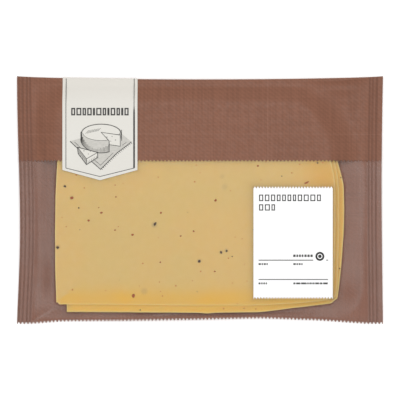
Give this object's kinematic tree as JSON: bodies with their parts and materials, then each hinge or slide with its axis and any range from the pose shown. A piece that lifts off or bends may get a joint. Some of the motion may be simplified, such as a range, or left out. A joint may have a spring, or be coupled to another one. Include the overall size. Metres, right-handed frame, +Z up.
{
  "type": "pack of sliced cheese",
  "caption": "Flat sealed bag of cheese slices with a brown back sheet, a clear window, a folded brown top, a pennant label and a price label.",
  "frame": {"origin": "on the surface the pack lies on, under the middle of the pack", "axes": "+X along the pack's long side, +Y towards its folded top edge, +Z up out of its front"},
  "size_m": [0.23, 0.1556, 0.0101],
  "materials": {
    "brown_film": "satin",
    "brown_band": "satin",
    "ribbon_paper": "matte",
    "price_paper": "satin"
  },
  "bodies": {
    "root": {"sealed_bag": "brown_film", "top_band": "brown_band", "ribbon_label": "ribbon_paper", "price_label": "price_paper"}
  },
  "joints": []
}
